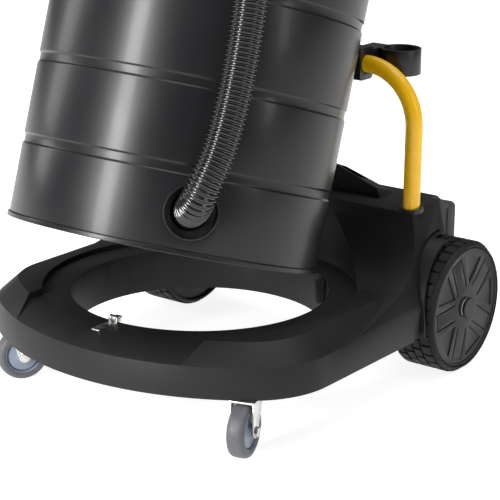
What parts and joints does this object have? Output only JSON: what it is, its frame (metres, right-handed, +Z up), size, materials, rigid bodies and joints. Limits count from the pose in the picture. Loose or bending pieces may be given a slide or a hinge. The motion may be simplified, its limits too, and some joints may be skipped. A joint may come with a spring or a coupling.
{
  "type": "dust collector",
  "caption": "Tipping drum dust collector on a moulded ring dolly with rear wheels, swivel casters, a push bar, a corrugated drain hose and a clamped motor head.",
  "frame": {"origin": "centre of the overall footprint, on the floor", "axes": "+Z up, -Y towards the front where the casters are, +X to the drain hose's side"},
  "size_m": [0.5912, 0.6652, 0.987],
  "materials": {
    "drum_paint": "satin black",
    "dolly_plastic": "fine texture",
    "step_pad": "ribbed",
    "bar_paint": "gloss yellow",
    "black_fittings": "satin",
    "zinc": "zinc plated",
    "wheel_plastic": "moulded",
    "wheel_tyre": "block tread",
    "bush_nylon": "smooth",
    "caster_rubber": "smooth grey",
    "caster_disc": "smooth blue-grey",
    "hose_rubber": "corrugated",
    "gasket_foam": "matt foam",
    "head_plastic": "fine texture",
    "handle_plastic": "satin",
    "switch_red": "gloss",
    "motor_metal": "cast",
    "fan_metal": "spun sheet",
    "filter_cloth": "pleated",
    "cage_plastic": "smooth",
    "float_plastic": "smooth"
  },
  "bodies": {
    "dolly": {"dolly_base": "dolly_plastic", "tool_caddy": "dolly_plastic", "rear_step": "step_pad", "push_bar": "bar_paint", "wand_holder": "black_fittings", "latch_plate": "zinc", "latch_pin": "zinc", "latch_screw": "zinc", "ring_bracket": "dolly_plastic", "caster_stem_left": "zinc", "caster_stem_right": "zinc", "rear_axle": "zinc", "wheel_cap_left": "wheel_plastic", "wheel_cap_right": "wheel_plastic"},
    "drum": {"drum_shell": "drum_paint", "drum_floor": "drum_paint", "drum_chime": "drum_paint", "drum_rim": "drum_paint", "drain_cup": "black_fittings", "drain_hose": "hose_rubber", "hose_clip": "black_fittings", "dust_inlet": "black_fittings", "drum_screws": "zinc", "hinge_saddle_left": "black_fittings", "hinge_saddle_right": "black_fittings", "hinge_cap_left": "black_fittings", "hinge_cap_right": "black_fittings"},
    "hose_end": {"hose_plug": "black_fittings"},
    "head": {"head_gasket": "gasket_foam", "head_base": "head_plastic", "clamp_pins": "zinc", "head_cover": "head_plastic", "switch_frame": "black_fittings", "carry_handle": "handle_plastic", "cable_gland": "black_fittings", "fan_housing": "head_plastic", "motor": "motor_metal", "filter_cartridge": "filter_cloth", "float_cage": "cage_plastic"},
    "clamp_left": {"head_clamp_left": "zinc"},
    "clamp_right": {"head_clamp_right": "zinc"},
    "switch": {"rocker": "switch_red"},
    "impeller": {"fan": "fan_metal"},
    "float": {"float_ball": "float_plastic"},
    "latch": {"latch_hook": "zinc"},
    "caster_left": {"caster_fork_left": "zinc", "caster_axle_left": "zinc"},
    "caster_wheel_left": {"caster_hub_left": "caster_disc", "caster_tyre_left": "caster_rubber"},
    "wheel_left": {"rear_tyre_left": "wheel_tyre", "rear_hub_left": "wheel_plastic", "wheel_bush_left": "bush_nylon"},
    "caster_right": {"caster_fork_right": "zinc", "caster_axle_right": "zinc"},
    "caster_wheel_right": {"caster_hub_right": "caster_disc", "caster_tyre_right": "caster_rubber"},
    "wheel_right": {"rear_tyre_right": "wheel_tyre", "rear_hub_right": "wheel_plastic", "wheel_bush_right": "bush_nylon"}
  },
  "joints": [
    {"name": "drum_tilt", "type": "hinge", "parent": "dolly", "child": "drum", "pos_m": [0, 0.195, 0.451], "axis": [-1, 0, 0], "range_deg": [-17.9, 72]},
    {"name": "head_lift", "type": "slide", "parent": "drum", "child": "head", "axis": [0, 0.3074, 0.9516], "range_m": [0, 0.25]},
    {"name": "plug_pull", "type": "slide", "parent": "drum", "child": "hose_end", "axis": [0.0119, 0.3219, 0.9467], "range_m": [0, 0.03]},
    {"name": "clamp_left_swing", "type": "hinge", "parent": "head", "child": "clamp_left", "pos_m": [-0.232, 0.06269, 0.80269], "axis": [0, 0.9516, -0.3074], "range_deg": [0, 100]},
    {"name": "clamp_right_swing", "type": "hinge", "parent": "head", "child": "clamp_right", "pos_m": [0.232, 0.06269, 0.80269], "axis": [0, -0.9516, 0.3074], "range_deg": [0, 100]},
    {"name": "switch_rock", "type": "hinge", "parent": "head", "child": "switch", "pos_m": [0, -0.00445, 0.97223], "axis": [1, 0, 0], "range_deg": [0, 8]},
    {"name": "fan_spin", "type": "hinge", "parent": "head", "child": "impeller", "pos_m": [0, 0.06269, 0.80269], "axis": [0, 0.3074, 0.9516], "continuous": true},
    {"name": "float_rise", "type": "slide", "parent": "head", "child": "float", "axis": [0, 0.3074, 0.9516], "range_m": [0, 0.04]},
    {"name": "latch_swing", "type": "hinge", "parent": "dolly", "child": "latch", "pos_m": [0, -0.227, 0.1459], "axis": [1, 0, 0], "range_deg": [0, 75]},
    {"name": "caster_left_swivel", "type": "hinge", "parent": "dolly", "child": "caster_left", "pos_m": [-0.218, -0.21, 0.078], "axis": [0, 0, 1], "continuous": true},
    {"name": "caster_left_roll", "type": "hinge", "parent": "caster_left", "child": "caster_wheel_left", "pos_m": [-0.20976, -0.19628, 0.0375], "axis": [-0.8572, 0.515, 0], "continuous": true},
    {"name": "wheel_left_roll", "type": "hinge", "parent": "dolly", "child": "wheel_left", "pos_m": [-0.2523, 0.231, 0.0993], "axis": [1, 0, 0], "continuous": true},
    {"name": "caster_right_swivel", "type": "hinge", "parent": "dolly", "child": "caster_right", "pos_m": [0.218, -0.21, 0.078], "axis": [0, 0, 1], "continuous": true},
    {"name": "caster_right_roll", "type": "hinge", "parent": "caster_right", "child": "caster_wheel_right", "pos_m": [0.22241, -0.22538, 0.0375], "axis": [0.9613, 0.2756, 0], "continuous": true},
    {"name": "wheel_right_roll", "type": "hinge", "parent": "dolly", "child": "wheel_right", "pos_m": [0.2523, 0.231, 0.0993], "axis": [1, 0, 0], "continuous": true}
  ]
}
